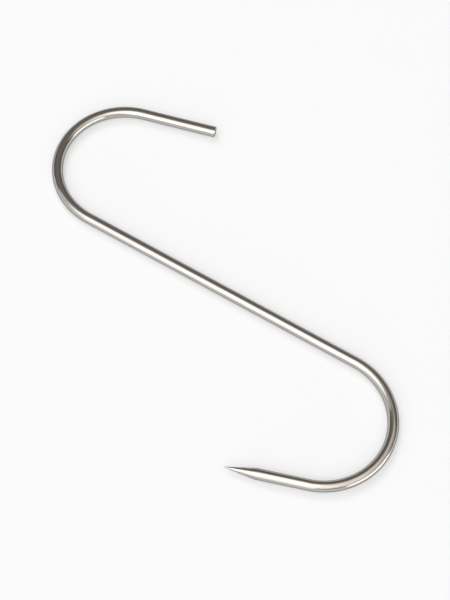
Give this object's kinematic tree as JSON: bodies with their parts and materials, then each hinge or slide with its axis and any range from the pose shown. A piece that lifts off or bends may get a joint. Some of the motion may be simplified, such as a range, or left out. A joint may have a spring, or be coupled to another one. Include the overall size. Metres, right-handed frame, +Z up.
{
  "type": "smoking hook",
  "caption": "S-shaped hook of round stainless wire for hanging food in a smoker, with a square-cut end and a ground point.",
  "frame": {"origin": "middle of the hook's box, on the surface that the hook lies on", "axes": "+X along the shank from the rod bend to the point bend, +Y to the rod bend's side of the shank, +Z up, square to the plane of the S"},
  "size_m": [0.165, 0.1164, 0.004],
  "materials": {
    "stainless_wire": "bright drawn and polished, fine lines along the wire"
  },
  "bodies": {
    "root": {"hook_wire": "stainless_wire"}
  },
  "joints": []
}
